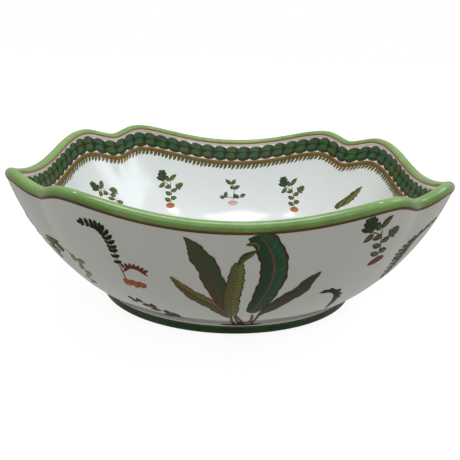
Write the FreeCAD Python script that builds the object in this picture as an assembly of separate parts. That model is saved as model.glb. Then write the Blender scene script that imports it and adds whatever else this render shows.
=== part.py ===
"""Square porcelain serving bowl with four bowed sides that meet in a notch at each corner.

Built as a hand-builder lutes it together: a base disc, four wall slabs joined at the corner notches,
a foot ring under the base and one rolled rim bead laid along the top of the walls.
Row frame: +Z up, the axis of the bowl on Z, the origin on the surface it stands on. Millimetres.
Every wall and bead section lies in a plane through the Z axis, so neighbouring sides meet in a
clean mitre on the diagonal planes.
"""

import FreeCAD
import Part
import os
from math import acos, atan2, cos, hypot, pi, radians, sin

# Plan of one half side, on the bead's centre line: a cubic from the side's middle to the notch
side_reach = 124.0  # from the Z axis to the middle of a side
notch_reach = 93.0  # from either centre plane to the notch
side_handle = 56.0  # how far the side runs nearly straight from its middle
shoulder_handle = 33.5  # how far the shoulder runs out of the notch
shoulder_angle = 68.0  # degrees between the shoulder and the side, in plan, where it leaves the notch

# Heights of the bead's centre line above the table
rim_middle_height = 74.0
rim_peak_height = 85.4
rim_notch_height = 79.7
rim_peak_place = 0.70  # where the peak comes along the half side's cubic, 0 at the middle, 1 at the notch
rim_notch_slope = 14.0  # fall into the notch, mm for the whole of the cubic

# Rim bead
bead_radius = 3.1

# Walls, as a section in a plane through the Z axis
wall_thickness = 4.4  # at the seat under the bead
heel_angle = 28.0  # degrees above the table at which the outside leaves the foot
heel_handle = 16.0
heel_inner_angle = 6.0  # the same for the inside, which runs out of the floor more gently
heel_inner_handle = 17.2
flare_angle = 71.5  # degrees above the table at which the outside meets the bead
flare_handle = 45.0
flare_inner_handle = 38.3

# Base and foot
base_radius = 82.0  # where the walls' outside leaves the base, at its underside
floor_radius = 76.0  # where the walls' inside leaves the flat floor
base_thickness = 4.2
foot_height = 6.5
foot_width = 6.0
foot_edge_round = 1.3
foot_draft = 0.6  # how much the ring's inside closes in from the table to the base

# Resolution of the lofts
half_side_spans = 12
bead_arc_points = 17

SIDES = ("front", "right", "back", "left")


def cubic(points, t):
    """The point at t on a cubic Bezier curve, for points of any dimension."""
    weights = ((1 - t) ** 3, 3 * (1 - t) ** 2 * t, 3 * (1 - t) * t**2, t**3)
    return tuple(sum(w * p[k] for w, p in zip(weights, points)) for k in range(len(points[0])))


def cubic_slope(points, t):
    """The derivative of cubic() at t."""
    weights = (3 * (1 - t) ** 2, 6 * (1 - t) * t, 3 * t**2)
    steps = [[b - a for a, b in zip(p, q)] for p, q in zip(points, points[1:])]
    return tuple(sum(w * s[k] for w, s in zip(weights, steps)) for k in range(len(steps[0])))


def half_side_plan():
    """Bezier points (along the side, out from the axis) of the bead's centre line."""
    angle = radians(shoulder_angle)
    return (
        (0.0, side_reach),
        (side_handle, side_reach),
        (notch_reach - shoulder_handle * cos(angle), notch_reach + shoulder_handle * sin(angle)),
        (notch_reach, notch_reach),
    )


def hermite(t, start, end, start_slope, end_slope, span):
    """Height and slope at t, from 0 to 1, on a cubic between two heights a span apart."""
    a, b = start_slope * span, end_slope * span
    height = (
        (2 * t**3 - 3 * t**2 + 1) * start
        + (t**3 - 2 * t**2 + t) * a
        + (3 * t**2 - 2 * t**3) * end
        + (t**3 - t**2) * b
    )
    slope = (
        (6 * t**2 - 6 * t) * (start - end)
        + (3 * t**2 - 4 * t + 1) * a
        + (3 * t**2 - 2 * t) * b
    )
    return height, slope / span


def rim_height(t):
    """Height of the bead's centre and its slope at t: low at the middle, high at the shoulder."""
    if t <= rim_peak_place:
        share = t / rim_peak_place
        return hermite(share, rim_middle_height, rim_peak_height, 0.0, 0.0, rim_peak_place)
    span = 1.0 - rim_peak_place
    share = (t - rim_peak_place) / span
    return hermite(share, rim_peak_height, rim_notch_height, 0.0, -rim_notch_slope, span)


class Station:
    """One section plane through the Z axis, at t from -1 to 1 along a side."""

    def __init__(self, t):
        along, out = cubic(half_side_plan(), abs(t))
        run_along, run_out = cubic_slope(half_side_plan(), abs(t))
        self.height, rise = rim_height(abs(t))
        self.radius = hypot(along, out)
        self.angle = atan2(along, out) * (1 if t >= 0 else -1)
        run = hypot(run_along, run_out)
        # An oblique section of the bead and wall is longer than a square one
        self.stretch_out = run * self.radius / abs(run_along * out - run_out * along)
        self.stretch_up = hypot(run, rise) / run

    def place(self, r, z):
        """The point at radius r and height z in this plane, for the side that faces -Y."""
        return FreeCAD.Vector(r * sin(self.angle), -r * cos(self.angle), z)

    def seat(self):
        """(outer, inner) ends of the wall's top edge, both on the bead's own circle."""
        half = 0.5 * wall_thickness * self.stretch_out
        drop = (bead_radius**2 - (0.5 * wall_thickness) ** 2) ** 0.5 * self.stretch_up
        z = self.height - drop
        return (self.radius + half, z), (self.radius - half, z)

    def outer_profile(self):
        """Bezier points (radius, height) of the wall's outside, from the base to the bead."""
        top, _ = self.seat()
        heel, flare = radians(heel_angle), radians(flare_angle)
        start = (base_radius, foot_height)
        return (
            start,
            (start[0] + heel_handle * cos(heel), start[1] + heel_handle * sin(heel)),
            (top[0] - flare_handle * cos(flare), top[1] - flare_handle * sin(flare)),
            top,
        )

    def inner_profile(self):
        """Bezier points of the wall's inside, from the floor to the bead."""
        _, top = self.seat()
        heel, flare = radians(heel_inner_angle), radians(flare_angle)
        start = (floor_radius, foot_height + base_thickness)
        return (
            start,
            (start[0] + heel_inner_handle * cos(heel), start[1] + heel_inner_handle * sin(heel)),
            (top[0] - flare_inner_handle * cos(flare), top[1] - flare_inner_handle * sin(flare)),
            top,
        )


def stations():
    """The section planes of one side, from its left notch to its right one."""
    return [Station(k / half_side_spans) for k in range(-half_side_spans, half_side_spans + 1)]


def bezier_edge(station, profile):
    curve = Part.BezierCurve()
    curve.setPoles([station.place(r, z) for r, z in profile])
    return curve.toShape()


def wall_section(station):
    """Closed wire: outside, seat under the bead, inside, joint with the base."""
    outer, inner = station.outer_profile(), station.inner_profile()
    return Part.Wire(
        [
            bezier_edge(station, outer),
            Part.makeLine(station.place(*outer[-1]), station.place(*inner[-1])),
            bezier_edge(station, inner[::-1]),
            Part.makeLine(station.place(*inner[0]), station.place(*outer[0])),
        ]
    )


def bead_section(station):
    """Closed wire: the seat on the wall, and the round from its outer end over the top to its inner end."""
    outer, inner = station.seat()
    low = acos(0.5 * wall_thickness / bead_radius)
    turn = pi + 2 * low
    arc = []
    for k in range(bead_arc_points):
        angle = -low + turn * k / (bead_arc_points - 1)
        r = station.radius + bead_radius * station.stretch_out * cos(angle)
        z = station.height + bead_radius * station.stretch_up * sin(angle)
        arc.append(station.place(r, z))
    arc[0], arc[-1] = station.place(*outer), station.place(*inner)
    curve = Part.BSplineCurve()
    curve.interpolate(arc)
    return Part.Wire([curve.toShape(), Part.makeLine(arc[-1], arc[0])])


def loft(section):
    """A solid through one side's sections."""
    return Part.makeLoft([section(s) for s in stations()], True, False, False)


def turned(shape, quarter_turns):
    copy = shape.copy()
    copy.rotate(FreeCAD.Vector(), FreeCAD.Vector(0, 0, 1), 90.0 * quarter_turns)
    return copy


def make_walls():
    """The four wall slabs, each mitred at its two corner notches."""
    slab = loft(wall_section)
    return {f"{side}_wall": turned(slab, k) for k, side in enumerate(SIDES)}


def make_rim_bead():
    """One continuous bead round all four sides, with a mitre at each notch."""
    length = loft(bead_section)
    ring = length.multiFuse([turned(length, k) for k in (1, 2, 3)])
    return ring.Solids[0]


def revolved(outline):
    """A solid of revolution about Z from a closed outline of (radius, height) points."""
    points = [FreeCAD.Vector(r, 0, z) for r, z in outline]
    face = Part.Face(Part.makePolygon(points + points[:1]))
    return face.revolve(FreeCAD.Vector(), FreeCAD.Vector(0, 0, 1), 360)


def make_base_disc():
    """The floor, with a bevelled edge that the wall slabs are luted to."""
    top = foot_height + base_thickness
    return revolved([(0, foot_height), (base_radius, foot_height), (floor_radius, top), (0, top)])


def make_foot_ring():
    """The ring luted under the base. It stands on a narrow flat land."""
    inner = base_radius - foot_width
    outline = [(base_radius, 0), (base_radius, foot_height), (inner - foot_draft, foot_height), (inner, 0)]
    ring = revolved(outline)
    low_edges = [e for e in ring.Edges if abs(e.BoundBox.ZMax) < 1e-6]
    return ring.makeFillet(foot_edge_round, low_edges)


def main():
    os.makedirs("parts", exist_ok=True)
    nodes = {"base_disc": make_base_disc(), "foot_ring": make_foot_ring(), "rim_bead": make_rim_bead()}
    nodes.update(make_walls())
    for name, shape in nodes.items():
        shape.exportStep(f"parts/{name}.step")
        print(name, "valid", shape.isValid(), "solids", len(shape.Solids), "volume", round(shape.Volume, 1))


main()
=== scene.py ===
"""Looks of the square porcelain serving bowl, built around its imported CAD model.

Metres, +Z up, the same frame as the CAD. The wall is one smooth glazed surface over the angle about Z,
worked out from the CAD nodes' boxes and a few sizes of the design. The painted decoration is thin raised
enamel: every stroke is a closed patch laid on that surface. Motif points are (x, y) in millimetres on a
side's panel: x to the right as seen facing that face, y up the wall from its foot at the side's middle.
"""

from math import cos, pi, radians, sin

import bpy
import numpy as np
from mathutils import Matrix, Vector


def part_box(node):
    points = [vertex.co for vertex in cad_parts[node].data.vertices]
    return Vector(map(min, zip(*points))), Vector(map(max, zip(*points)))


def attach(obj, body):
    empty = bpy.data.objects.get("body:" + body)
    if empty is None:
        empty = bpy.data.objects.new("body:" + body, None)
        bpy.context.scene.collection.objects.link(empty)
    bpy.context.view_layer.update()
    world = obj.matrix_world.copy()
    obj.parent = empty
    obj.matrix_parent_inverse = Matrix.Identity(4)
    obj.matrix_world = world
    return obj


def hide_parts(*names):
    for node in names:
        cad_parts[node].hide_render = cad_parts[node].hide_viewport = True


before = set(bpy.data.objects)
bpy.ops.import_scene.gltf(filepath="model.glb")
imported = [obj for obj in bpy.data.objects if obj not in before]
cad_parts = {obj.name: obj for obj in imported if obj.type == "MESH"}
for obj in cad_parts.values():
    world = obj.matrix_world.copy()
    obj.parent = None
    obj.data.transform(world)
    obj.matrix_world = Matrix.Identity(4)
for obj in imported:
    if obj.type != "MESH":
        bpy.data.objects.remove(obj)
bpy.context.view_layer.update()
MM = 0.001
QUARTER = pi / 2
SIDE_NAMES = ("front", "right", "back", "left")
FRONT, BACK = 0, 2

# ---- The bowl's sizes: from the CAD nodes' boxes, and the design's own values for the curves ----
BEAD_LOW, BEAD_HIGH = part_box("rim_bead")
BEAD_RADIUS = 3.1 * MM
WALL_THICKNESS = 4.4 * MM
SEAT_DROP = (BEAD_RADIUS**2 - (WALL_THICKNESS / 2) ** 2) ** 0.5  # bead's centre to wall's top
SIDE_REACH = BEAD_HIGH.x - BEAD_RADIUS
MIDDLE_HEIGHT = BEAD_LOW.z + SEAT_DROP
PEAK_HEIGHT = BEAD_HIGH.z - BEAD_RADIUS
NOTCH_HEIGHT = 79.7 * MM
PEAK_PLACE = 0.70
NOTCH_SLOPE = 14.0 * MM
NOTCH_REACH = 93.0 * MM
SIDE_HANDLE = 56.0 * MM
SHOULDER_HANDLE = 33.5 * MM
SHOULDER_ANGLE = radians(68.0)
FLARE_ANGLE = radians(71.5)
BASE_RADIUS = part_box("foot_ring")[1].x
FOOT_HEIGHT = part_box("foot_ring")[1].z
FLOOR_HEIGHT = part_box("base_disc")[1].z
FLOOR_RADIUS = 76.0 * MM
FOOT_WIDTH = 6.0 * MM
FOOT_ROUND = 1.3 * MM
FOOT_DRAFT = 0.6 * MM  # how much the ring's inside closes in from the table to the base
FOOT_GREEN_TOP = 4.3 * MM  # where the foot's green stops and the white glaze runs down to it
NOTCH_SOFTNESS = radians(1.8)  # how far the glaze rounds the crease at a notch, as an angle about Z

# ---- Resolution ----
TURN_STEPS = 480  # of the body, round the bowl
RISE_STEPS = 56  # of the body, up one face of the wall
BEAD_TURN_STEPS = 720
BEAD_STEPS = 28
COVE_STEPS = 16
BORDER_STEPS = 2880  # of the table that measures the inside border
STROKE_STEP = 2.0 * MM  # the longest piece of a painted stroke
SHARP_ANGLE = radians(40)  # an edge sharper than this isn't shaded smooth

# ---- Enamel ----
ENAMEL_LIFT = 0.09 * MM  # how far enamel stands proud of the glaze
ENAMEL_SINK = 0.12 * MM  # how far its closed underside lies in the glaze
LAYER_LIFT = 0.035 * MM  # how much higher each later layer of paint lies


# ---------------------------------------------------------------- the bowl's surface


def bezier(points, t):
    """A cubic Bezier value at t. The points and t may be arrays."""
    weights = ((1 - t) ** 3, 3 * (1 - t) ** 2 * t, 3 * (1 - t) * t**2, t**3)
    return sum(w * p for w, p in zip(weights, points))


def hermite(t, start, end, start_slope, end_slope):
    """A cubic from start to end as t runs from 0 to 1, with its slope at each end."""
    return (
        (2 * t**3 - 3 * t**2 + 1) * start
        + (t**3 - 2 * t**2 + t) * start_slope
        + (3 * t**2 - 2 * t**3) * end
        + (t**3 - t**2) * end_slope
    )


PLAN_ALONG = (0.0, SIDE_HANDLE, NOTCH_REACH - SHOULDER_HANDLE * cos(SHOULDER_ANGLE), NOTCH_REACH)
PLAN_OUT = (SIDE_REACH, SIDE_REACH, NOTCH_REACH + SHOULDER_HANDLE * sin(SHOULDER_ANGLE), NOTCH_REACH)


def folded(angle):
    """The angle from the nearest side's middle, with the fold at each notch rounded off."""
    from_notch = np.abs(np.mod(angle, QUARTER) - QUARTER / 2)
    return QUARTER / 2 - np.minimum(np.hypot(from_notch, NOTCH_SOFTNESS), QUARTER / 2)


def bead_line(angle):
    """(radius, height) of the bead's centre line at an angle about Z."""
    wanted = folded(angle)
    low, high = np.zeros_like(wanted), np.ones_like(wanted)
    for _ in range(40):  # halves the interval until only rounding is left
        t = (low + high) / 2
        short = np.arctan2(bezier(PLAN_ALONG, t), bezier(PLAN_OUT, t)) < wanted
        low, high = np.where(short, t, low), np.where(short, high, t)
    rise = hermite(np.clip(t / PEAK_PLACE, 0, 1), MIDDLE_HEIGHT, PEAK_HEIGHT, 0, 0)
    span = 1 - PEAK_PLACE
    past_peak = np.clip((t - PEAK_PLACE) / span, 0, 1)
    fall = hermite(past_peak, PEAK_HEIGHT, NOTCH_HEIGHT, 0, -NOTCH_SLOPE * span)
    height = np.where(t < PEAK_PLACE, rise, fall)
    return np.hypot(bezier(PLAN_ALONG, t), bezier(PLAN_OUT, t)), height


def bead_section_sizes(angle):
    """(radius, height, stretch out, stretch up): an oblique section is longer than a square one."""
    step = 1e-3
    radius, height = bead_line(angle)
    ahead, behind = bead_line(angle + step), bead_line(angle - step)
    turn, rise = ((a - b) / (2 * step) for a, b in zip(ahead, behind))
    run = np.hypot(radius, turn)
    return radius, height, run / radius, np.hypot(run, rise) / run


def from_middle(angle):
    """The angle from the middle of the nearest side, 0 to an eighth of a turn."""
    return np.abs(np.mod(angle + QUARTER / 2, QUARTER) - QUARTER / 2)


FOLDS = np.linspace(0, QUARTER / 2, 1801)
FOLD_SIZES = bead_section_sizes(FOLDS)  # worked out once and read off for every point


def bead_frame(angle):
    """bead_section_sizes at any angle, read off the table."""
    fold = from_middle(angle)
    return [np.interp(fold, FOLDS, sizes) for sizes in FOLD_SIZES]


def placed(radius, angle, height):
    """Points at a radius and an angle about Z. Angle 0 is the middle of the front side, facing -Y."""
    return np.stack(np.broadcast_arrays(radius * np.sin(angle), -radius * np.cos(angle), height), axis=-1)


class Face:
    """One face of the wall as a surface over (angle, share): share 0 at the foot, 1 under the bead."""

    def __init__(self, start, heel_angle, heel_handle, flare_handle, outward):
        self.start, self.flare, self.outward = start, flare_handle, outward
        self.heel_end = (
            start[0] + heel_handle * cos(heel_angle),
            start[1] + heel_handle * sin(heel_angle),
        )
        self.folds = np.linspace(0, QUARTER / 2, 121)
        self.shares = np.linspace(0, 1, 161)
        fine = np.linspace(0, 1, 641)
        radius, height = self._section(self.folds[:, None], fine[None, :])
        steps = np.hypot(np.diff(radius, axis=1), np.diff(height, axis=1))
        lengths = np.concatenate([np.zeros((len(self.folds), 1)), np.cumsum(steps, axis=1)], axis=1)
        self.lengths = lengths[:, -1]
        self.table = np.array([np.interp(self.shares * row[-1], row, fine) for row in lengths])

    def _section(self, angle, t):
        radius, height, stretch_out, stretch_up = bead_frame(angle)
        top_radius = radius + self.outward * WALL_THICKNESS / 2 * stretch_out
        top_height = height - SEAT_DROP * stretch_up
        bend_radius = top_radius - self.flare * cos(FLARE_ANGLE)
        bend_height = top_height - self.flare * sin(FLARE_ANGLE)
        return (
            bezier((self.start[0], self.heel_end[0], bend_radius, top_radius), t),
            bezier((self.start[1], self.heel_end[1], bend_height, top_height), t),
        )

    def length(self, angle):
        """Length of the section at an angle, from the foot to the bead."""
        return np.interp(from_middle(angle), self.folds, self.lengths)

    def section(self, angle, share):
        """(radius, height) at a share of the section's length."""
        row = from_middle(angle) / self.folds[-1] * (len(self.folds) - 1)
        column = np.clip(share, 0, 1) * (len(self.shares) - 1)
        i = np.clip(row.astype(int), 0, len(self.folds) - 2)
        j = np.clip(column.astype(int), 0, len(self.shares) - 2)
        a, b = row - i, column - j
        table = self.table
        t = (1 - a) * ((1 - b) * table[i, j] + b * table[i, j + 1])
        t = t + a * ((1 - b) * table[i + 1, j] + b * table[i + 1, j + 1])
        return self._section(angle, t)

    def points(self, angle, share):
        radius, height = self.section(angle, share)
        return placed(radius, angle, height)


class Bead:
    """The rim bead as a surface over (angle, share): share 0 on its outermost line, 0.25 on its top."""

    outward = 1

    def points(self, angle, share):
        radius, height, stretch_out, stretch_up = bead_frame(angle)
        out = BEAD_RADIUS * np.cos(2 * pi * share) * stretch_out
        return placed(radius + out, angle, height + BEAD_RADIUS * np.sin(2 * pi * share) * stretch_up)


def normals(face, angle, share):
    """Unit normals of a surface, pointing out of the porcelain."""
    step_angle, step_share = 2e-3, 4e-3
    share = np.clip(share, 0, 1 - step_share)
    turn = face.points(angle + step_angle, share) - face.points(angle - step_angle, share)
    rise = face.points(angle, share + step_share) - face.points(angle, share)
    normal = np.cross(turn, rise) * face.outward
    return normal / np.linalg.norm(normal, axis=-1, keepdims=True)


class Cove:
    """The white glaze between the foot and the wall: share 0 at the foot's green, 1 on the wall."""

    outward = 1
    reach = 8.0 * MM  # how far up the wall it ends
    blend_length = 5.4 * MM  # how far it runs along the wall's own slope before its end
    sink = 0.02 * MM  # how deep its end lies in the wall, so that no step shows
    upright = FOOT_HEIGHT - 0.7 * MM  # height of the handle that draws it straight up from the green

    def __init__(self):
        fine = np.linspace(0, 1, 201)
        line = self._points(np.zeros_like(fine), fine)
        lengths = np.concatenate([[0], np.cumsum(np.linalg.norm(np.diff(line, axis=0), axis=1))])
        self.length = lengths[-1]
        self.shares, self.table = lengths / self.length, fine

    def _points(self, angle, t):
        length = OUTSIDE.length(angle)
        end_radius, end_height = OUTSIDE.section(angle, self.reach / length)
        low_radius, low_height = OUTSIDE.section(angle, (self.reach - self.blend_length) / length)
        radii = (BASE_RADIUS, BASE_RADIUS, low_radius + self.sink, end_radius)
        heights = (FOOT_GREEN_TOP, self.upright, low_height, end_height + self.sink)
        return placed(bezier(radii, t), angle, bezier(heights, t))

    def points(self, angle, share):
        return self._points(angle, np.interp(share, self.shares, self.table))


BEAD = Bead()
OUTSIDE = Face(
    start=(BASE_RADIUS, FOOT_HEIGHT),
    heel_angle=radians(28.0),
    heel_handle=16.0 * MM,
    flare_handle=45.0 * MM,
    outward=1,
)
INSIDE = Face(
    start=(FLOOR_RADIUS, FLOOR_HEIGHT),
    heel_angle=radians(6.0),
    heel_handle=17.2 * MM,
    flare_handle=38.3 * MM,
    outward=-1,
)
COVE = Cove()


def below_rim(share):
    """Squeezes what would run past the rim into the last of the wall."""
    last = 0.97
    past = (1 - last) * np.tanh((share - last) / (1 - last))
    return np.where(share > last, last + past, share)


def panel(face, side):
    """Maps (x, y) millimetres on a side's panel to (angle, share) on that face."""

    def place(xy):
        x, share = xy[..., 0] * MM, below_rim(xy[..., 1] * MM / face.length(np.zeros(1))[0])
        angle = x / SIDE_REACH
        for _ in range(10):
            angle = np.arcsin(np.clip(x / face.section(angle, share)[0], -0.99, 0.99))
        return angle * face.outward + side * QUARTER, share

    return face, place


def cove_panel(side):
    """Maps (x, y) millimetres to (angle, share) on the cove, y up from the foot's green."""

    def place(xy):
        angle = xy[..., 0] * MM / BASE_RADIUS + side * QUARTER
        return angle, np.clip(xy[..., 1] * MM / COVE.length, 0, 1)

    return COVE, place


BORDER_GAUGE = 7.0 * MM  # how far below the bead lengths along the border are measured


def _border_turns():
    """Angles round the bowl, and how far along the inside border each one lies."""
    angle = np.linspace(0, 2 * pi, BORDER_STEPS + 1)
    below = BORDER_GAUGE / INSIDE.length(angle)
    line = INSIDE.points(angle, 1 - below)
    steps = np.linalg.norm(np.diff(line, axis=0), axis=1)
    return angle, np.concatenate([[0], np.cumsum(steps)]) / MM


BORDER_ANGLES, BORDER_ALONG = _border_turns()
BORDER_LENGTH = BORDER_ALONG[-1]  # millimetres, all the way round


def border(face):
    """Maps (along, down) millimetres, down from the bead, to (angle, share) on that face."""

    def place(xy):
        along, down = np.mod(xy[..., 0], BORDER_LENGTH), xy[..., 1] * MM
        angle = np.interp(along, BORDER_ALONG, BORDER_ANGLES)
        return angle, 1 - down / face.length(angle)

    return face, place


# ---------------------------------------------------------------- meshes


def make_object(name, vertices, faces, materials, picks=None, uv=None):
    """A mesh object that rides on the bowl's one body. picks is each face's material index."""
    mesh = bpy.data.meshes.new(name)
    mesh.from_pydata([tuple(v) for v in vertices], [], faces)
    for material in materials:
        mesh.materials.append(material)
    if picks is not None:
        mesh.polygons.foreach_set("material_index", picks)
    if uv is not None:
        layer = mesh.uv_layers.new(name="stroke")
        corners = np.zeros(len(mesh.loops), np.int32)
        mesh.loops.foreach_get("vertex_index", corners)
        layer.data.foreach_set("uv", np.asarray(uv, np.float32)[corners].ravel())
    mesh.shade_smooth()
    mesh.set_sharp_from_angle(angle=SHARP_ANGLE)
    mesh.validate()
    obj = bpy.data.objects.new(name, mesh)
    bpy.context.scene.collection.objects.link(obj)
    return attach(obj, "root")


def ring_faces(rows, columns, closed_rows=False):
    """Quads of a grid of rows that each go right round the bowl."""
    faces = []
    for i in range(rows if closed_rows else rows - 1):
        a, b = i * columns, (i + 1) % rows * columns
        for j in range(columns):
            k = (j + 1) % columns
            faces.append((a + j, a + k, b + k, b + j))
    return faces


def capped(rings, faces, columns):
    """Closes the first and the last ring of a stack with fans to two new points on the axis."""
    rows = len(rings)
    first, last = rows * columns, rows * columns + 1
    centres = [(0, 0, rings[0][0][2]), (0, 0, rings[-1][0][2])]
    for j in range(columns):
        k = (j + 1) % columns
        faces.append((first, k, j))
        faces.append((last, (rows - 1) * columns + j, (rows - 1) * columns + k))
    return np.concatenate([np.concatenate(rings), centres]), faces


# ---------------------------------------------------------------- materials


def new_material(name):
    """(material, tree, shader) with only a Principled shader and the output."""
    material = bpy.data.materials.new(name)
    material.use_nodes = True
    tree = material.node_tree
    tree.nodes.clear()
    shader = tree.nodes.new("ShaderNodeBsdfPrincipled")
    output = tree.nodes.new("ShaderNodeOutputMaterial")
    tree.links.new(shader.outputs["BSDF"], output.inputs["Surface"])
    return material, tree, shader


def add(tree, kind, settings=None, **inputs):
    """A node with its properties set, and its inputs set or linked. Input names use _ for a space."""
    node = tree.nodes.new(kind)
    for key, value in (settings or {}).items():
        setattr(node, key, value)
    for key, value in inputs.items():
        socket = node.inputs[int(key[2:]) if key.startswith("at") else key.replace("_", " ")]
        if isinstance(value, bpy.types.NodeSocket):
            tree.links.new(value, socket)
        else:
            socket.default_value = value
    return node


def math(tree, operation, a, b=0.0, c=0.0):
    return add(tree, "ShaderNodeMath", {"operation": operation}, at0=a, at1=b, at2=c).outputs[0]


def smoothly(tree, value, low, high, to_low=0.0, to_high=1.0):
    """value mapped smoothly from low..high to to_low..to_high."""
    limits = {"From_Min": low, "From_Max": high, "To_Min": to_low, "To_Max": to_high}
    settings = {"interpolation_type": "SMOOTHSTEP"}
    return add(tree, "ShaderNodeMapRange", settings, Value=value, **limits).outputs["Result"]


def blend(tree, factor, a, b):
    """Colour a where factor is 0, colour b where it is 1."""
    node = add(tree, "ShaderNodeMix", {"data_type": "RGBA"}, at0=factor)
    for socket, value in ((node.inputs[6], a), (node.inputs[7], b)):
        if isinstance(value, bpy.types.NodeSocket):
            tree.links.new(value, socket)
        else:
            socket.default_value = (*value, 1)
    return node.outputs[2]


def noise(tree, scale, detail=3.0, roughness=0.5):
    """Noise over the piece's own coordinates, in metres, so it keeps its size."""
    place = add(tree, "ShaderNodeTexCoord").outputs["Object"]
    inputs = {"Vector": place, "Scale": scale, "Detail": detail, "Roughness": roughness}
    return add(tree, "ShaderNodeTexNoise", None, **inputs).outputs["Fac"]


def bump(tree, shader, height, distance, strength=1.0):
    node = add(tree, "ShaderNodeBump", None, Height=height, Distance=distance, Strength=strength)
    tree.links.new(node.outputs["Normal"], shader.inputs["Normal"])


def glaze(shader, roughness, coat=0.6, shine=0.5, coat_roughness=0.04):
    shader.inputs["Roughness"].default_value = roughness
    shader.inputs["IOR"].default_value = 1.45
    shader.inputs["Specular IOR Level"].default_value = shine
    shader.inputs["Coat Weight"].default_value = coat
    shader.inputs["Coat Roughness"].default_value = coat_roughness


def porcelain_material():
    """White glazed porcelain: slightly green-grey, with soft clouds, fine specks and an uneven glaze."""
    material, tree, shader = new_material("glazed_porcelain")
    clouds = smoothly(tree, noise(tree, 14, 3), 0.35, 0.7)
    tint = blend(tree, clouds, (0.80, 0.81, 0.775), (0.84, 0.845, 0.83))
    specks = smoothly(tree, noise(tree, 900, 2, 0.7), 0.76, 0.84)
    tree.links.new(blend(tree, specks, tint, (0.52, 0.50, 0.44)), shader.inputs["Base Color"])
    glaze(shader, 0.20, coat_roughness=0.10)
    bump(tree, shader, noise(tree, 38, 2), 0.0016, 0.22)
    return material


def foot_green_material():
    """The foot's dark green glaze, which breaks from dark to light in soft patches, with finer streaks."""
    material, tree, shader = new_material("foot_green_glaze")
    dark = (0.022, 0.055, 0.018)
    patches = smoothly(tree, noise(tree, 60, 4, 0.6), 0.3, 0.72)
    colour = blend(tree, patches, dark, (0.042, 0.095, 0.036))
    fine = smoothly(tree, noise(tree, 540, 3, 0.65), 0.5, 0.78, 0.0, 0.5)
    darker = tuple(0.72 * c for c in dark)
    tree.links.new(blend(tree, fine, colour, darker), shader.inputs["Base Color"])
    glaze(shader, 0.2, coat=0.1, shine=0.25)
    bump(tree, shader, noise(tree, 60, 2), 0.001, 0.25)
    return material


def bead_material():
    """The bead's light green glaze. It is darker low on its outer side, partly glaze pooled there and
    partly painted shade, and runs thin and light on top.
    """
    material, tree, shader = new_material("rim_green_glaze")
    outness, height, _ = stroke_place(tree)
    patches = smoothly(tree, noise(tree, 45, 4, 0.6), 0.3, 0.72)
    colour = blend(tree, patches, (0.190, 0.345, 0.085), (0.275, 0.445, 0.140))
    streaks = smoothly(tree, noise(tree, 420, 3, 0.65), 0.5, 0.78, 0.0, 0.4)
    colour = blend(tree, streaks, colour, (0.15, 0.26, 0.065))
    # Painted shade together with pooled glaze: the colour turns dark olive towards the bead's underside.
    uneven = math(tree, "ADD", height, math(tree, "MULTIPLY", patches, 0.10))
    colour = blend(tree, smoothly(tree, uneven, 0.14, 0.52, 1.0, 0.0), colour, (0.070, 0.105, 0.028))
    tree.links.new(colour, shader.inputs["Base Color"])
    glaze(shader, 0.12, coat=0.35, shine=0.3)
    bump(tree, shader, noise(tree, 60, 2), 0.001, 0.25)
    return material


def biscuit_material():
    """The unglazed land the bowl stands on."""
    material, tree, shader = new_material("unglazed_foot_land")
    grit = smoothly(tree, noise(tree, 1500, 4, 0.7), 0.4, 0.7)
    tree.links.new(blend(tree, grit, (0.62, 0.58, 0.50), (0.74, 0.71, 0.64)), shader.inputs["Base Color"])
    shader.inputs["Roughness"].default_value = 0.85
    bump(tree, shader, noise(tree, 2200, 3, 0.7), 0.0002, 0.5)
    return material


def stroke_place(tree):
    """(u along the stroke, v across it, distance from its middle line)."""
    place = add(tree, "ShaderNodeUVMap", {"uv_map": "stroke"}).outputs[0]
    parts = add(tree, "ShaderNodeSeparateXYZ", None, Vector=place)
    u, v = parts.outputs[0], parts.outputs[1]
    return u, v, math(tree, "ABSOLUTE", math(tree, "SUBTRACT", v, 0.5))


def enamel_material(
    name, body, shade, edge, edge_share=0.16, vein=None, vein_share=0.07, ribs=0, rib_depth=0.0,
    base=None, coat=0.0, shine=0.12,
):
    """Overglaze enamel on a stroke.

    The paint turns from body to shade across the stroke and in brushed clouds. The edge line, the midrib
    (vein), the slanting ribs and a darker base all follow the stroke's own u and v.
    """
    material, tree, shader = new_material(name)
    u, v, from_middle_line = stroke_place(tree)
    cloud = noise(tree, 260, 4, 0.65)
    side = smoothly(tree, math(tree, "ADD", v, math(tree, "MULTIPLY", cloud, 0.5)), 0.45, 1.05)
    colour = blend(tree, side, body, shade)
    colour = blend(tree, smoothly(tree, cloud, 0.46, 0.68, 0.0, 0.6), colour, shade)
    if ribs:
        lean = math(tree, "MULTIPLY", from_middle_line, 2.6)
        slant = math(tree, "SUBTRACT", math(tree, "MULTIPLY", u, ribs), lean)
        wave = math(tree, "SINE", math(tree, "MULTIPLY", slant, 2 * pi))
        colour = blend(tree, smoothly(tree, wave, 0.35, 0.95, 0.0, rib_depth), colour, edge)
    if vein is not None:
        thinning = smoothly(tree, u, 0.55, 1.0, 1.0, 0.35)
        near = math(tree, "DIVIDE", from_middle_line, thinning)
        on_vein = smoothly(tree, near, vein_share * 0.6, vein_share * 1.4, 1.0, 0.0)
        colour = blend(tree, on_vein, colour, vein)
    unevenness = math(tree, "MULTIPLY", math(tree, "SUBTRACT", cloud, 0.5), 0.12)
    ragged = math(tree, "ADD", from_middle_line, unevenness)
    rim = smoothly(tree, ragged, 0.5 - edge_share, 0.5 - edge_share * 0.35)
    colour = blend(tree, rim, colour, edge)
    if base is not None:
        colour = blend(tree, smoothly(tree, u, 0.30, 0.55, 1.0, 0.0), colour, base)
    tree.links.new(colour, shader.inputs["Base Color"])
    glaze(shader, 0.22, coat, shine)
    bump(tree, shader, cloud, 0.0002, 0.35)
    return material


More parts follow.
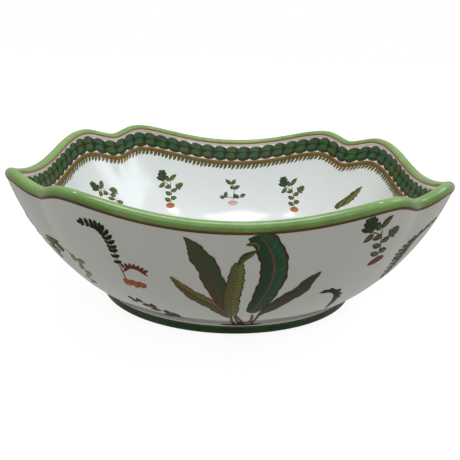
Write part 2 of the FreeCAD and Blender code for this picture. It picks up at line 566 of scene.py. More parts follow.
DARK_EDGE = (0.020, 0.024, 0.010)

# Each paint's body, shade and edge colour, and what else it sets on enamel_material
PAINTS = {
    "deep_green": (
        (0.044, 0.150, 0.080), (0.036, 0.086, 0.044), (0.085, 0.036, 0.020),
        dict(edge_share=0.10, vein=(0.21, 0.105, 0.075), vein_share=0.042, ribs=15, rib_depth=0.4),
    ),
    "dark_leaf": (
        (0.056, 0.120, 0.058), (0.105, 0.105, 0.052), (0.120, 0.052, 0.030),
        dict(edge_share=0.10, vein=(0.15, 0.085, 0.060), vein_share=0.035, ribs=13, rib_depth=0.25),
    ),
    "toothed_green": ((0.060, 0.105, 0.042), (0.030, 0.060, 0.024), DARK_EDGE, dict(edge_share=0.05)),
    "light_green": (
        (0.27, 0.27, 0.095), (0.165, 0.185, 0.062), (0.105, 0.075, 0.028),
        dict(edge_share=0.12, vein=(0.27, 0.11, 0.06), vein_share=0.04, ribs=17, rib_depth=0.75),
    ),
    "olive": (
        (0.28, 0.225, 0.080), (0.130, 0.145, 0.048), (0.17, 0.060, 0.028),
        dict(edge_share=0.10, vein=(0.09, 0.07, 0.02), vein_share=0.06, ribs=12, rib_depth=0.45),
    ),
    "two_tone": (
        (0.070, 0.100, 0.044), (0.045, 0.090, 0.038), (0.150, 0.046, 0.026),
        dict(edge_share=0.13, vein=(0.15, 0.060, 0.035), vein_share=0.06),
    ),
    "curl_olive": ((0.20, 0.19, 0.05), (0.07, 0.085, 0.025), (0.06, 0.05, 0.016), dict(edge_share=0.14)),
    "faded_olive": ((0.36, 0.33, 0.18), (0.22, 0.21, 0.11), (0.17, 0.13, 0.07), dict(edge_share=0.12)),
    "frond_green": (
        (0.044, 0.054, 0.024), (0.020, 0.029, 0.013), DARK_EDGE, dict(edge_share=0.12, shine=0.04),
    ),
    "sprig_green": (
        (0.115, 0.135, 0.036), (0.042, 0.068, 0.020), (0.060, 0.048, 0.016),
        dict(edge_share=0.14, vein=(0.30, 0.25, 0.09), vein_share=0.07),
    ),
    "iron_red": ((0.26, 0.050, 0.026), (0.16, 0.030, 0.016), (0.20, 0.035, 0.018), {}),
    "line_red": ((0.46, 0.19, 0.085), (0.30, 0.10, 0.045), (0.30, 0.11, 0.05), {}),
    "line_brown": ((0.30, 0.115, 0.045), (0.16, 0.065, 0.028), (0.18, 0.07, 0.03), {}),
    "gold_brown": ((0.34, 0.17, 0.035), (0.22, 0.11, 0.025), (0.16, 0.08, 0.02), {}),
    "russet": ((0.190, 0.075, 0.048), (0.120, 0.070, 0.038), (0.17, 0.055, 0.035), {}),
    "root_red": ((0.150, 0.040, 0.026), (0.095, 0.024, 0.016), (0.10, 0.026, 0.016), {}),
    "rust": ((0.58, 0.18, 0.045), (0.40, 0.11, 0.03), (0.42, 0.12, 0.035), {}),
    "rose": ((0.74, 0.47, 0.43), (0.66, 0.38, 0.34), (0.70, 0.46, 0.42), {}),
    "blush": (
        (0.93, 0.82, 0.78), (0.90, 0.77, 0.71), (0.91, 0.80, 0.75),
        dict(edge_share=0.02, coat=0.6, shine=0.5),
    ),
    "olive_brown": ((0.19, 0.155, 0.035), (0.095, 0.09, 0.020), (0.11, 0.075, 0.02), {}),
    "shadow_brown": ((0.065, 0.048, 0.022), (0.035, 0.034, 0.014), (0.05, 0.03, 0.015), {}),
}
# A garland leaf is dark brown at its base, with a thin pale midrib and a thin dark edge
GARLAND_GREENS = {
    "garland_green": ((0.062, 0.132, 0.052), (0.030, 0.066, 0.027)),
    "garland_blue": ((0.054, 0.122, 0.060), (0.027, 0.062, 0.032)),
    "garland_olive": ((0.078, 0.136, 0.048), (0.036, 0.066, 0.024)),
}
for _name, (_body, _shade) in GARLAND_GREENS.items():
    _midrib = tuple(1.4 * c for c in _body)
    _shape = dict(edge_share=0.07, vein=_midrib, vein_share=0.04, base=(0.038, 0.028, 0.012))
    PAINTS[_name] = (_body, _shade, (0.020, 0.026, 0.010), _shape)


def make_paints():
    """The enamel materials, by the name of their paint."""
    return {
        name: enamel_material(f"enamel_{name}", *colours, **settings)
        for name, (*colours, settings) in PAINTS.items()
    }


# ---------------------------------------------------------------- the bowl


def make_body(porcelain):
    """The glazed wall and floor as one closed skin, because the glaze runs on over the seams."""
    angle = np.linspace(0, 2 * pi, TURN_STEPS, endpoint=False)
    shares = np.linspace(0, 1, RISE_STEPS + 1)
    under = [placed(BASE_RADIUS * k / 6, angle, FOOT_HEIGHT) for k in range(1, 6)]
    outside = [OUTSIDE.points(angle, np.full_like(angle, s)) for s in shares]
    inside = [INSIDE.points(angle, np.full_like(angle, s)) for s in shares[::-1]]
    floor = [placed(FLOOR_RADIUS * k / 24, angle, FLOOR_HEIGHT) for k in range(23, 0, -1)]
    rings = under + outside + inside + floor
    vertices, faces = capped(rings, ring_faces(len(rings), TURN_STEPS), TURN_STEPS)
    body = make_object("glazed_body", vertices, faces, [porcelain])
    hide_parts("base_disc", "front_wall", "right_wall", "back_wall", "left_wall")


def make_bead(green):
    """The rolled rim, one round bead that follows the wavy edge."""
    angle = np.linspace(0, 2 * pi, BEAD_TURN_STEPS, endpoint=False)
    rings = [BEAD.points(angle, k / BEAD_STEPS) for k in range(BEAD_STEPS)]
    faces = ring_faces(BEAD_STEPS, BEAD_TURN_STEPS, closed_rows=True)
    turns = np.repeat(2 * pi * np.arange(BEAD_STEPS) / BEAD_STEPS, BEAD_TURN_STEPS)
    outness_and_height = np.stack([0.5 + 0.5 * np.cos(turns), 0.5 + 0.5 * np.sin(turns)], axis=-1)
    bead = make_object("rim_bead_glaze", np.concatenate(rings), faces, [green], uv=outness_and_height)
    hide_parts("rim_bead")


def arc(centre, radius, start, end, steps=8):
    """(radius, height) points on an arc, angles in degrees."""
    turns = [radians(start + (end - start) * k / steps) for k in range(steps + 1)]
    return [(centre[0] + radius * cos(t), centre[1] + radius * sin(t)) for t in turns]


def make_foot(green, biscuit):
    """The foot ring: green glaze outside and inside, and a bare land underneath."""
    inner, top = BASE_RADIUS - FOOT_WIDTH, FOOT_HEIGHT + 0.3 * MM  # its top lies hidden in the base
    inside = inner - FOOT_DRAFT
    outline = [(BASE_RADIUS - 0.05 * MM, top), (BASE_RADIUS, FOOT_GREEN_TOP + 0.1 * MM)]
    outline.append((BASE_RADIUS, 2.0 * MM))
    outline += arc((BASE_RADIUS - FOOT_ROUND, FOOT_ROUND), FOOT_ROUND, 0, -90)
    outline += arc((inner + FOOT_ROUND, FOOT_ROUND), FOOT_ROUND, -90, -180)
    outline += [(inside, FOOT_HEIGHT), (inside, top)]
    angle = np.linspace(0, 2 * pi, TURN_STEPS, endpoint=False)
    rings = [placed(r, angle, z) for r, z in outline]
    faces = ring_faces(len(rings), TURN_STEPS, closed_rows=True)
    middle = BASE_RADIUS - FOOT_WIDTH / 2
    half_land = FOOT_WIDTH / 2 - FOOT_ROUND * 0.8
    land_rows = [k for k, (r, z) in enumerate(outline) if abs(r - middle) < half_land and z < 0.1 * MM]
    picks = [1 if i // TURN_STEPS in land_rows else 0 for i in range(len(faces))]
    faces = [f[::-1] for f in faces]
    foot = make_object("foot_ring_glaze", np.concatenate(rings), faces, [green, biscuit], picks)
    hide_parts("foot_ring")


def make_cove(porcelain):
    """The white glaze that runs from the wall down to the green of the foot."""
    angle = np.linspace(0, 2 * pi, TURN_STEPS, endpoint=False)
    rings = [COVE.points(angle, k / COVE_STEPS) for k in range(COVE_STEPS + 1)]
    in_wall, in_foot = BASE_RADIUS + 5.5 * MM, BASE_RADIUS - MM  # its hidden side lies inside both
    hidden = ((in_wall, FOOT_HEIGHT + 4.2 * MM), (in_foot, FOOT_HEIGHT + MM), (in_foot, FOOT_GREEN_TOP))
    rings += [placed(radius, angle, height) for radius, height in hidden]
    faces = ring_faces(len(rings), TURN_STEPS, closed_rows=True)
    cove = make_object("foot_cove_glaze", np.concatenate(rings), faces, [porcelain])


# ---------------------------------------------------------------- painted strokes


class Painting:
    """Collects strokes and makes them one piece of thin, closed, raised enamel.

    where is (surface, map from the strokes' own flat points to (angle, share) on it).
    """

    def __init__(self, name, paints, where=None):
        self.name, self.paints, self.where = name, paints, where
        self.vertices, self.faces, self.picks, self.uv, self.used = [], [], [], [], []
        self.count = 0

    def patch(self, grid, paint, layer=0, tip_lift=0.0, loop=False):
        """Lays a (rows, columns, 2) grid of flat points. loop joins its last row to its first."""
        face, place = self.where
        angle, share = place(grid)
        points, outs = face.points(angle, share), normals(face, angle, share)
        rows, columns = grid.shape[:2]
        lift = ENAMEL_LIFT + LAYER_LIFT * layer + tip_lift * np.linspace(0, 1, rows)[:, None, None]
        top, low = points + outs * lift, points - outs * ENAMEL_SINK
        turned = np.cross(top[1, 0] - top[0, 0], top[0, 1] - top[0, 0]) @ outs[0, 0] < 0
        base, size = self.count, rows * columns

        def at(i, j, level):
            return base + level * size + i % rows * columns + j

        faces = []
        last = rows if loop else rows - 1
        for i in range(last):
            for j in range(columns - 1):
                faces.append((at(i, j, 0), at(i + 1, j, 0), at(i + 1, j + 1, 0), at(i, j + 1, 0)))
                faces.append((at(i, j, 1), at(i, j + 1, 1), at(i + 1, j + 1, 1), at(i + 1, j, 1)))
            right = columns - 1
            faces.append((at(i, 0, 1), at(i + 1, 0, 1), at(i + 1, 0, 0), at(i, 0, 0)))
            faces.append((at(i, right, 0), at(i + 1, right, 0), at(i + 1, right, 1), at(i, right, 1)))
        if not loop:
            end = rows - 1
            for j in range(columns - 1):
                faces.append((at(0, j, 0), at(0, j + 1, 0), at(0, j + 1, 1), at(0, j, 1)))
                faces.append((at(end, j, 1), at(end, j + 1, 1), at(end, j + 1, 0), at(end, j, 0)))
        if turned:
            faces = [f[::-1] for f in faces]
        if paint not in self.used:
            self.used.append(paint)
        u, v = np.meshgrid(np.linspace(0, 1, rows), np.linspace(0, 1, columns), indexing="ij")
        flat_uv = np.stack([u.ravel(), v.ravel()], axis=-1)
        self.vertices += [top.reshape(-1, 3), low.reshape(-1, 3)]
        self.uv += [flat_uv, flat_uv]
        self.faces += faces
        self.picks += [self.used.index(paint)] * len(faces)
        self.count += 2 * size

    def finish(self):
        materials = [self.paints[p] for p in self.used]
        vertices, uv = np.concatenate(self.vertices), np.concatenate(self.uv)
        return make_object(self.name, vertices, self.faces, materials, self.picks, uv)


def smooth_line(points, steps):
    """A smooth curve through a few points, as a Catmull-Rom spline."""
    p = np.array(points, float)
    p = np.concatenate([[2 * p[0] - p[1]], p, [2 * p[-1] - p[-2]]])
    place = np.linspace(0, len(points) - 1, steps + 1)
    i = np.minimum(place.astype(int), len(points) - 2)
    t = (place - i)[:, None]
    a, b, c, d = p[i], p[i + 1], p[i + 2], p[i + 3]
    square, cube = 2 * a - 5 * b + 4 * c - d, 3 * b - a - 3 * c + d
    return 0.5 * (2 * b + (c - a) * t + square * t**2 + cube * t**3)


def leaf(
    painting, line, width, paint, belly=0.45, fullness=0.75, wave=0.0, waves=5, cut=1.0, layer=0, lift=0.0
):
    """A leaf-shaped stroke about a centre line, in millimetres.

    belly is where along it the leaf is widest, and a low fullness makes its ends blunt. wave ripples its
    two edges, cut leaves off its tip and lift raises its tip, in metres.
    """
    length = sum(np.hypot(b[0] - a[0], b[1] - a[1]) for a, b in zip(line, line[1:])) * MM
    ripples = waves * 14 if wave else 0
    along = max(7, int(length / STROKE_STEP), ripples)
    across = 2 * max(1, int(np.ceil(width * MM / STROKE_STEP / 2))) + 2
    middle = smooth_line(line, along)
    tangent = np.gradient(middle, axis=0)
    normal = np.stack([-tangent[:, 1], tangent[:, 0]], axis=-1)
    normal /= np.linalg.norm(normal, axis=1, keepdims=True)
    u = np.linspace(0, cut, along + 1)
    power = np.log(0.5) / np.log(belly)
    half = np.maximum(0.5 * width * np.maximum(np.sin(pi * u**power), 0) ** fullness, 0.06)
    edge = np.linspace(-1, 1, across + 1)[None, :]
    turn, start = 2 * pi * waves * u[:, None], np.where(edge > 0, 0, 2.0)
    ripple = 0.7 * np.sin(turn + start) + 0.5 * np.sin(2.37 * turn + 1.7 * start)
    reach = half[:, None] * edge * (1 + wave * ripple * np.abs(edge))
    grid = middle[:, None, :] + normal[:, None, :] * reach[:, :, None]
    painting.patch(grid, paint, layer, lift)


def stem(painting, line, width, paint, layer=0):
    leaf(painting, line, width, paint, belly=0.5, fullness=0.18, layer=layer)


def turned_by(vector, degrees):
    """A (x, y) vector turned counter-clockwise."""
    c, s = cos(radians(degrees)), sin(radians(degrees))
    return np.array([c * vector[0] - s * vector[1], s * vector[0] + c * vector[1]])


def small_leaf(painting, root, length, heading, width, paint, bend=8.0, **shape):
    """A short leaf from a root point along a heading in degrees, 0 to the right and 90 up."""
    root = np.array(root, float)
    middle = root + turned_by((length * 0.5, 0), heading + bend)
    tip = root + turned_by((length, 0), heading)
    leaf(painting, [root, middle, tip], width, paint, **shape)


def toothed_leaf(painting, root, length, heading, width, paint, layer=0):
    """A broad leaf with three pointed lobes on each side."""
    blade = {"bend": 0, "fullness": 0.6, "layer": layer}
    small_leaf(painting, root, length, heading, width * 0.62, paint, **blade)
    for k, share in enumerate((0.18, 0.42, 0.64)):
        place = np.array(root) + turned_by((length * share, 0), heading)
        size = width * (0.66 - 0.10 * k)
        for spread in (62, -62):
            tilt = heading + spread * (1 - 0.2 * k)
            small_leaf(painting, place, size, tilt, width * 0.36, paint, bend=0, layer=layer + 1)


def frond(painting, line, pairs, reach, width, paint, slant, stem_paint="iron_red"):
    """A feathered frond: a thin stem with paired leaflets that are shorter at its foot and its tip."""
    stem(painting, line, 0.6, stem_paint)
    steps = pairs * 4
    middle = smooth_line(line, steps)
    for k in range(pairs):
        share = 0.05 + 0.95 * (k + 0.5) / pairs
        i = min(int(share * steps), steps - 1)
        heading = np.degrees(np.arctan2(*(middle[i + 1] - middle[i])[::-1]))
        size = reach * (1 - 0.4 * abs(share - 0.5) / 0.5)
        for spread in (slant, -slant):
            small_leaf(painting, middle[i], size, heading + spread, width, paint, bend=6, layer=1)
    small_leaf(painting, middle[-2], reach * 0.8, heading, width, paint, layer=1)


# ---------------------------------------------------------------- lines round the bowl

GARLAND_MIDDLE = 6.3  # the inside border, in millimetres down from the bead
GROUND_END = 12.5
RED_LINE_END = 13.5
OLIVE_LINE_END = 15.8
FRINGE_END = 19.4
LEAF_PAIRS_PER_SIDE = 21
TEETH_PER_SIDE = 60
GARLAND_PAINTS = ("garland_green", "garland_green", "garland_blue", "garland_olive")
GREEN_END = 0.462  # shares of the bead's section, where its green stops inside and its red line ends
BEAD_LINE_END = 0.515
BLUSH_END = 0.62  # where the bead's blush ground has passed into the wall
GARLAND_SHADE = 4.3  # half the height of the dark ground behind the garland
UNDER_BEAD_LINE = (0.895, 0.93)  # shares of the bead's section and of the cove, for the outside lines
ABOVE_FOOT_LINE = (0.01, 0.08)


def ring(painting, surface, start, end, paint, layer=0, columns=3):
    """A band of paint right round the bowl, between two shares. A share may vary with the angle."""
    angle = np.linspace(0, 2 * pi, BEAD_TURN_STEPS, endpoint=False)[:, None]
    across = np.linspace(0, 1, columns)[None, :]
    first, last = (np.broadcast_to(np.reshape(edge, (-1, 1)), angle.shape) for edge in (start, end))
    shares = first + (last - first) * across
    grid = np.stack(np.broadcast_arrays(angle, shares), axis=-1)
    painting.where = surface, lambda xy: (xy[..., 0], xy[..., 1])
    painting.patch(grid, paint, layer, loop=True)


def down_from_bead(face, distance):
    """The share, at each step round the bowl, that lies a distance in millimetres down from the bead."""
    angle = np.linspace(0, 2 * pi, BEAD_TURN_STEPS, endpoint=False)
    return 1 - distance * MM / face.length(angle)


def make_border_lines(paints):
    """Blush ground with its lines: it starts on the inner side of the bead and follows the wavy rim."""
    lines = Painting("border_lines", paints)
    ring(lines, BEAD, GREEN_END, BEAD_LINE_END, "line_red", 1)
    ring(lines, BEAD, BEAD_LINE_END, BLUSH_END, "blush", 0, columns=5)
    bands = (
        (0.0, GROUND_END, "blush", 0, 7),
        (GROUND_END, RED_LINE_END, "line_red", 1, 3),
        (RED_LINE_END, OLIVE_LINE_END, "olive_brown", 1, 3),
        (GARLAND_MIDDLE - GARLAND_SHADE, GARLAND_MIDDLE + GARLAND_SHADE, "shadow_brown", 1, 5),
    )
    for top, bottom, paint, layer, columns in bands:
        edges = (down_from_bead(INSIDE, distance) for distance in (top, bottom))
        ring(lines, INSIDE, *edges, paint, layer, columns)
    lines.finish()


def make_garland(paints):
    """A laurel garland: pairs of rounded leaves whose raised tips overlap the next pair."""
    garland = Painting("border_garland", paints, border(INSIDE))
    step = BORDER_LENGTH / (4 * LEAF_PAIRS_PER_SIDE)
    chance = np.random.default_rng(7)
    for k in range(4 * LEAF_PAIRS_PER_SIDE):
        start = k * step
        for side in (-1, 1):
            shake = chance.uniform(-0.4, 0.4, 4)
            points = ((0.0, 0.3), (0.75, 2.3), (1.5, 2.9))
            line = [
                (start + share * step + shake[i], GARLAND_MIDDLE + side * (out + 0.5 * shake[i]))
                for i, (share, out) in enumerate(points)
            ]
            paint = GARLAND_PAINTS[chance.integers(len(GARLAND_PAINTS))]
            leaf(
                garland, line, 7.2 + shake[3], paint, belly=0.58, fullness=0.52,
                layer=2 + 0.6 * (side > 0), lift=0.16 * MM,
            )
    garland.finish()


def make_fringe(paints):
    """A comb of short olive teeth that lean along the border under its lines."""
    fringe = Painting("border_fringe", paints, border(INSIDE))
    teeth = 4 * TEETH_PER_SIDE
    step = BORDER_LENGTH / teeth
    chance = np.random.default_rng(11)
    for k in range(teeth):
        x, end = k * step + chance.uniform(-0.3, 0.3), FRINGE_END + chance.uniform(-0.6, 0.9)
        line = [(x, OLIVE_LINE_END - 0.7), (x + 0.8, OLIVE_LINE_END + 1.4), (x + 2.3, end)]
        near_notch = abs(k % TEETH_PER_SIDE - TEETH_PER_SIDE / 2) < 6
        paint = "gold_brown" if near_notch and chance.uniform() < 0.6 else "olive_brown"
        leaf(fringe, line, 2.6, paint, belly=0.32, fullness=0.7, layer=1)
    fringe.finish()


def make_outside_lines(paints):
    """The brown line under the bead outside, and the thin dark one above the foot."""
    lines = Painting("outside_lines", paints)
    ring(lines, BEAD, *UNDER_BEAD_LINE, "line_brown", 1)
    ring(lines, OUTSIDE, *(down_from_bead(OUTSIDE, distance) for distance in (0.5, -0.2)), "line_brown", 1)
    ring(lines, COVE, *ABOVE_FOOT_LINE, "shadow_brown")
    lines.finish()


# ---------------------------------------------------------------- motifs


# x of each of a spray's stems at three heights
SPRAY_STEMS = ((4.5, 3.4, 2.6), (8.5, 6.4, 4.2), (7, 8.5, 4.6), (9.5, 13, 14), (14, 15, 17.5))
ROOT_HEIGHT = 2.9  # of the line a spray stands on, up the cove


def about(at, flip=1, size=1.0):
    """Maps a motif's own (x, y) to the panel. flip -1 mirrors it."""
    return lambda x, y: (at[0] + flip * size * x, at[1] + size * y)


def facing(flip):
    """Turns a heading with the motif it belongs to."""
    return lambda degrees: degrees if flip > 0 else 180 - degrees


def small_leaves(painting, to, size, paint, leaves):
    """Short leaves of one width, each given as (x, y, length, heading) in the motif's own millimetres."""
    for x, y, length, heading in leaves:
        small_leaf(painting, to(x, y), length * size, heading, 3.2 * size, paint, layer=1)


def fern_spray(painting, flip=1):
    """Five broad strap leaves that fan out of one root, with stems and a curled tip."""
    to = about((0, 0), flip)

    def blade(points, width, paint, **shape):
        leaf(painting, [to(x, y) for x, y in points], width, paint, **shape)

    for foot, knee, top in SPRAY_STEMS:
        stem(painting, [to(foot, 4.0), to(knee, 10), to(top, 22)], 1.6, "root_red", 1)
    blade(
        [(2.5, 17), (-6, 30.5), (-17, 39.5), (-27.5, 51.5)], 7.8, "olive",
        belly=0.42, fullness=0.6, wave=0.10, layer=2,
    )
    blade(
        [(1.5, 24), (-4.6, 44), (-8.6, 58), (-14, 68), (-16.6, 73), (-20.6, 77.3)], 11.2, "dark_leaf",
        belly=0.38, fullness=0.85, wave=0.10, waves=4, layer=2,
    )
    blade(
        [(12.6, 23.5), (17.6, 37), (21.5, 50), (22.4, 61), (19.7, 71.5), (14.0, 81)], 13.4, "deep_green",
        belly=0.52, fullness=0.30, wave=0.06, waves=5, cut=0.84, layer=2,
    )
    blade(
        [(16, 18), (22.5, 29.5), (30, 36.5), (36.5, 42.5), (40.5, 49), (45.4, 54.5)], 7.6, "two_tone",
        belly=0.5, fullness=0.70, wave=0.10, waves=3, layer=3,
    )
    blade(
        [(0.2, 25), (-4.8, 35.5), (-9.6, 45)], 2.8, "russet",
        belly=0.35, fullness=0.8, wave=0.12, waves=3, layer=3,
    )
    blade(
        [(20.5, 23.0), (28.2, 30.8), (36.0, 38.6)], 2.0, "russet",
        belly=0.4, fullness=0.8, wave=0.10, waves=3, layer=4,
    )
    blade(
        [(3.0, 20), (2.6, 38), (4.2, 51), (5.6, 64)], 8.8, "light_green",
        fullness=0.24, wave=0.08, waves=7, layer=4,
    )
    blade([(4.8, 61), (7.6, 66.8), (10.6, 69.0), (13.6, 71.4)], 3.6, "curl_olive", belly=0.45, layer=5)
    blade(
        [(12.9, 70.6), (14.3, 73), (12.4, 75.4), (8.4, 74.5)], 2.4, "curl_olive",
        belly=0.68, fullness=0.6, layer=6,
    )


def root_line(painting, side, flip=1):
    """The dark red lens that a spray stands on and the feet of its stems, painted on the cove."""
    painting.where = cove_panel(side)
    lens = [(flip * x, ROOT_HEIGHT + 0.1) for x in (-2.9, 8.6, 20.1)]
    leaf(painting, lens, 2.6, "root_red", belly=0.5, fullness=0.45, layer=2)
    for foot, _, _ in SPRAY_STEMS:
        knees = ((1, ROOT_HEIGHT), (0.98, ROOT_HEIGHT + 3), (0.96, 8.5))
        line = [(flip * foot * share, height) for share, height in knees]
        stem(painting, line, 1.6, "root_red", 1)


def tall_frond(painting, at):
    """A dark feathered frond with a small red curl and a rust root."""
    to = about(at)
    curve = ((0, -1), (-2, 8), (-3.6, 14.8), (-6.6, 20), (-11, 22), (-17.5, 21.2))
    frond(painting, [to(x, y) for x, y in curve], 13, 3.7, 1.9, "frond_green", slant=56)
    stem(painting, [to(2.0, -8.5), to(0.8, -4), to(0, 0)], 0.6, "iron_red")
    curl = [to(1.0, -3), to(4.5, 1.6), to(9, 1.6), to(13.5, -2.2)]
    leaf(painting, curl, 2.2, "iron_red", belly=0.5, fullness=0.4, layer=1)
    for k in range(7):
        start = to(1.8 + 1.6 * k, -1.2 + 2.6 * sin(0.5 + 0.36 * k))
        small_leaf(painting, start, 3.2, 118 - 13 * k, 1.7, "iron_red", bend=0, layer=1)
    for k in range(6):
        start, length = to(1.2 + 1.9 * k, -7.6 - 0.5 * (k % 2)), 5.6 - 0.5 * (k % 3)
        small_leaf(painting, start, length, -84 - 3 * k, 3.2, "rust", fullness=0.5, layer=k % 2)


def leafy_sprig(painting, at, size=1.0, root="rust"):
    """A thin stem with two toothed leaves and several small ones over a painted root."""
    to, paint = about(at, size=size), "sprig_green"

    def thread(*points):
        stem(painting, [to(x, y) for x, y in points], 0.5, "olive_brown")

    thread((0, 1), (0.2, 8), (-0.8, 14), (-1.6, 20))
    thread((0, 10.5), (2.4, 13.2), (4, 15))
    thread((-1.2, 15.5), (-4.5, 17.4), (-7.5, 19))
    toothed_leaf(painting, to(-7.2, 18.0), 9.2 * size, 100, 8.0 * size, "toothed_green", 1)
    toothed_leaf(painting, to(3.0, 13.8), 7.4 * size, 42, 5.0 * size, paint, 1)
    leaves = (
        (-1.8, 19.2, 7.4, 50), (-2.6, 18.6, 4.8, 112), (-5.8, 17.6, 5.8, 222), (-0.8, 15.8, 5.2, 200),
        (0.2, 11.0, 4.6, 28), (0.0, 9.0, 5.0, 160), (0.2, 5.0, 4.6, 24), (0, 4.0, 5.0, 158),
    )
    small_leaves(painting, to, size, paint, leaves)
    if root == "iron_red":
        line, width, fullness = [to(-4.4, -2.6), to(0, 0), to(4.4, 2.6)], 3.6, 0.4
    else:
        line, width, fullness = [to(-3.4, 0.1), to(0, 0.3), to(3.4, 0.1)], 4.2, 0.42
    leaf(painting, line, width * size, root, belly=0.5, fullness=fullness)


def forked_sprig(painting, at):
    """A small upright sprig with two low side shoots over a pale root."""
    to = about(at)
    stem(painting, [to(0, 1.5), to(0.6, 8), to(0.6, 13), to(-1.4, 18)], 0.5, "olive_brown")
    stem(painting, [to(-6.6, 4.6), to(-3, 5), to(0.3, 4.4), to(3.5, 4.6), to(7, 6)], 0.5, "olive_brown")
    leaves = (
        (-0.8, 16.4, 7.2, 146), (-0.4, 16.0, 5.0, 66), (0.6, 11.8, 6.0, 34), (0.4, 12.2, 4.0, 128),
        (-5.6, 4.4, 5.6, 92), (-6.6, 4.8, 4.6, 172), (5.2, 4.6, 4.8, 140), (6.0, 5.2, 5.2, 30),
        (2.8, 4.6, 4.2, 118),
    )
    small_leaves(painting, to, 1.0, "sprig_green", leaves)
    leaf(painting, [to(-4.4, 0.2), to(0, 0), to(4.4, 0.2)], 4.2, "rose", belly=0.5, fullness=0.45)


def trailing_sprig(painting, line, length, width, paint, twigs=(1, 3, 5, 7, 9, 11)):
    """A little sprig that trails along a line, with smaller and smaller leaves to either side in turn."""
    stem(painting, line, 0.7, paint)
    middle = smooth_line(line, 12)
    for n, i in enumerate(twigs):
        heading = np.degrees(np.arctan2(*(middle[i + 1 if i < 12 else 12] - middle[i - 1])[::-1]))
        size = 1 - 0.06 * n
        turn = 34 if n % 2 else -32
        small_leaf(painting, middle[i], length * size, heading + turn, width * size, paint, layer=1)


def hooked_sprig(painting, at, flip=1):
    """A hooked dark sprig: a thick bent stem with short leaves at its top."""
    to, aim = about(at, flip), facing(flip)
    bent = [to(0, 0), to(2.8, 12), to(2.6, 19.5), to(-1.2, 24.2), to(-7.8, 24.6)]
    leaf(painting, bent, 3.6, "frond_green", belly=0.5, fullness=0.4)
    twigs = (
        (3, 14, 3.2, 20), (3.2, 17.0, 3.4, 40), (2.6, 20.6, 3.6, 70), (-0.4, 23.6, 3.4, 108),
        (-3, 24.4, 3.4, 150),
    )
    for x, y, length, heading in twigs:
        small_leaf(painting, to(x, y), length, aim(heading), 2.8, "frond_green", fullness=0.55, layer=1)


def strap_leaves(painting, at):
    """A pair of narrow olive leaves that stand side by side."""
    to = about(at)
    leaf(painting, [to(0, -2), to(-0.6, 6), to(0.2, 14.5)], 6.2, "curl_olive", wave=0.18, waves=5)
    leaf(painting, [to(-0.6, -4), to(-3.2, 0), to(-3.0, 6)], 3.8, "curl_olive", layer=1)


def make_outside_motifs(paints):
    """The spray in the middle of each side, with a frond, three sprigs and a corner sprig round it."""
    for side, name in enumerate(SIDE_NAMES):
        flip = 1 if side in (FRONT, BACK) else -1
        spray = Painting(f"{name}_fern_spray", paints, panel(OUTSIDE, side))
        fern_spray(spray, flip)
        root_line(spray, side, flip)
        spray.finish()
        sprigs = Painting(f"{name}_sprigs", paints, panel(OUTSIDE, side))
        low = [(flip * x, y) for x, y in ((-22, 9), (-29, 12.5), (-37, 18), (-44, 22), (-51, 23))]
        trailing_sprig(sprigs, low, 7.6, 4.4, "frond_green", (1, 2, 3, 5, 6, 7, 9, 10, 11))
        hooked_sprig(sprigs, (flip * 54.6, 12.5), flip)
        if flip > 0:
            tall_frond(sprigs, (-52.0, 51.0))
            leafy_sprig(sprigs, (74.0, 53.5), root="iron_red")
            corner = [(-85, 53), (-80, 49), (-75.5, 42), (-74, 33), (-73, 28)]
            trailing_sprig(sprigs, corner, 6.0, 3.4, "faded_olive", (2, 4, 5, 7, 8, 10, 11))
        else:
            edge = [(-70, 32), (-77, 42), (-82, 51), (-85, 58), (-83.5, 64), (-76, 67)]
            frond(sprigs, edge, 16, 3.6, 1.6, "sprig_green", slant=50, stem_paint="olive_brown")
            leafy_sprig(sprigs, (60.0, 45.0), 0.9)
            corner = [(88, 57), (84, 54), (79, 50), (75, 45)]
            trailing_sprig(sprigs, corner, 6.5, 3.0, "sprig_green")
        sprigs.finish()


def make_inside_motifs(paints):
    """Small sprigs on each inside wall, and olive leaves on the two that face each other sideways."""
    for side, name in enumerate(SIDE_NAMES):
        sprigs = Painting(f"inside_{name}_sprigs", paints, panel(INSIDE, side))
        forked_sprig(sprigs, (3.0, 31.0))
        if side in (FRONT, BACK):
            leafy_sprig(sprigs, (-47.6, 26.0), 1.02)
            leafy_sprig(sprigs, (52.5, 26.0), 0.98)
        else:
            strap_leaves(sprigs, (-67.0, 38.0))
            leafy_sprig(sprigs, (66.0, 29.0), 0.85)
        sprigs.finish()


# ---------------------------------------------------------------- studio

TOP_LIGHT = (0.69, 0.715, 0.735)  # the soft light's colour from each direction
SIDE_LIGHT = (0.43, 0.405, 0.37)
FRONT_LIGHT = (0.075, 0.075, 0.060)
FLOOR_LIGHT = (0.450, 0.453, 0.425)


def make_floor():
    """A plain pale floor that glows a little, so that it stays white round the soft contact shadow."""
    size = 8.0
    corners = [(-size, -size, 0), (size, -size, 0), (size, size, 0), (-size, size, 0)]
    mesh = bpy.data.meshes.new("studio_floor")
    mesh.from_pydata(corners, [], [(0, 1, 2, 3)])
    material, tree, shader = new_material("studio_floor")
    shader.inputs["Base Color"].default_value = (0.22, 0.22, 0.22, 1)
    shader.inputs["Roughness"].default_value = 1.0
    shader.inputs["Specular IOR Level"].default_value = 0.0
    shader.inputs["Emission Color"].default_value = (1, 1, 1, 1)
    shader.inputs["Emission Strength"].default_value = 0.90
    mesh.materials.append(material)
    floor = bpy.data.objects.new("studio_floor", mesh)
    floor.location.z = -0.0002
    floor.visible_diffuse = False
    floor.visible_glossy = False
    bpy.context.scene.collection.objects.link(floor)


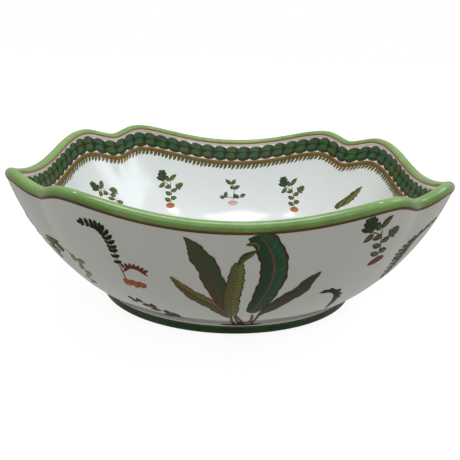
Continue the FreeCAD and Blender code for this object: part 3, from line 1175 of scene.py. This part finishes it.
def make_world():
    """Soft light all round, dimmest from behind the camera. The camera itself sees plain white."""
    world = bpy.data.worlds.new("studio")
    bpy.context.scene.world = world
    world.use_nodes = True
    tree = world.node_tree
    tree.nodes.clear()
    direction = add(tree, "ShaderNodeTexCoord").outputs["Generated"]
    parts = add(tree, "ShaderNodeSeparateXYZ", None, Vector=direction)
    front = smoothly(tree, parts.outputs["Y"], -0.95, -0.25, 1.0, 0.0)
    sides = blend(tree, front, SIDE_LIGHT, FRONT_LIGHT)
    low = smoothly(tree, parts.outputs["Z"], -0.9, -0.15)
    high = smoothly(tree, parts.outputs["Z"], 0.1, 0.95)
    colour = blend(tree, high, blend(tree, low, FLOOR_LIGHT, sides), TOP_LIGHT)
    light = add(tree, "ShaderNodeBackground", None, Color=colour, Strength=1.0)
    white = add(tree, "ShaderNodeBackground", None, Color=(1, 1, 1, 1), Strength=1.0)
    seen = add(tree, "ShaderNodeLightPath").outputs["Is Camera Ray"]
    mix = add(tree, "ShaderNodeMixShader", None, at0=seen, at1=light.outputs[0], at2=white.outputs[0])
    output = add(tree, "ShaderNodeOutputWorld")
    tree.links.new(mix.outputs[0], output.inputs["Surface"])


def area_light(name, place, target, size, power, colour=(1, 1, 1)):
    light = bpy.data.lights.new(name, "AREA")
    light.shape = "RECTANGLE"
    light.size, light.size_y = size
    light.energy = power
    light.color = colour
    obj = bpy.data.objects.new(name, light)
    obj.location = place
    obj.rotation_euler = (Vector(target) - Vector(place)).to_track_quat("-Z", "Y").to_euler()
    bpy.context.scene.collection.objects.link(obj)


def make_lights():
    middle = (0, 0, 0.05)
    area_light("overhead_softbox", (-0.08, -0.08, 1.4), middle, (0.50, 0.50), 5.6, (0.88, 0.96, 1.0))
    area_light("right_softbox", (0.95, 0.10, 0.90), middle, (0.50, 0.50), 2.6, (0.80, 0.93, 1.0))
    area_light("front_strip", (0.0, -1.30, 0.84), middle, (1.30, 0.045), 1.9, (0.97, 1.0, 1.0))
    area_light("left_spot", (-0.50, 0.10, 1.1), middle, (0.07, 0.05), 0.5)
    area_light("right_spot", (0.45, 0.05, 1.1), middle, (0.05, 0.06), 0.5)


def make_camera():
    """The photographed view: close in front, a little above, with the frame a touch off level."""
    distance, height, tilt, roll = 0.3948, 0.1555, radians(14.17), radians(1.81)
    camera = bpy.data.cameras.new("camera")
    camera.sensor_width = 36.0
    camera.lens = 48.4
    camera.shift_x, camera.shift_y = 0.0015, -0.065
    camera.clip_start = 0.01
    obj = bpy.data.objects.new("camera", camera)
    facing = Matrix.Rotation(pi / 2 - tilt, 4, "X") @ Matrix.Rotation(roll, 4, "Z")
    obj.matrix_world = Matrix.Translation((0, -distance, height)) @ facing
    bpy.context.scene.collection.objects.link(obj)
    bpy.context.scene.camera = obj


def main():
    bpy.context.scene.view_settings.view_transform = "Standard"
    porcelain = porcelain_material()
    make_body(porcelain)
    make_cove(porcelain)
    make_bead(bead_material())
    make_foot(foot_green_material(), biscuit_material())
    paints = make_paints()
    make_border_lines(paints)
    make_garland(paints)
    make_fringe(paints)
    make_outside_lines(paints)
    make_outside_motifs(paints)
    make_inside_motifs(paints)
    make_floor()
    make_world()
    make_lights()
    make_camera()


main()
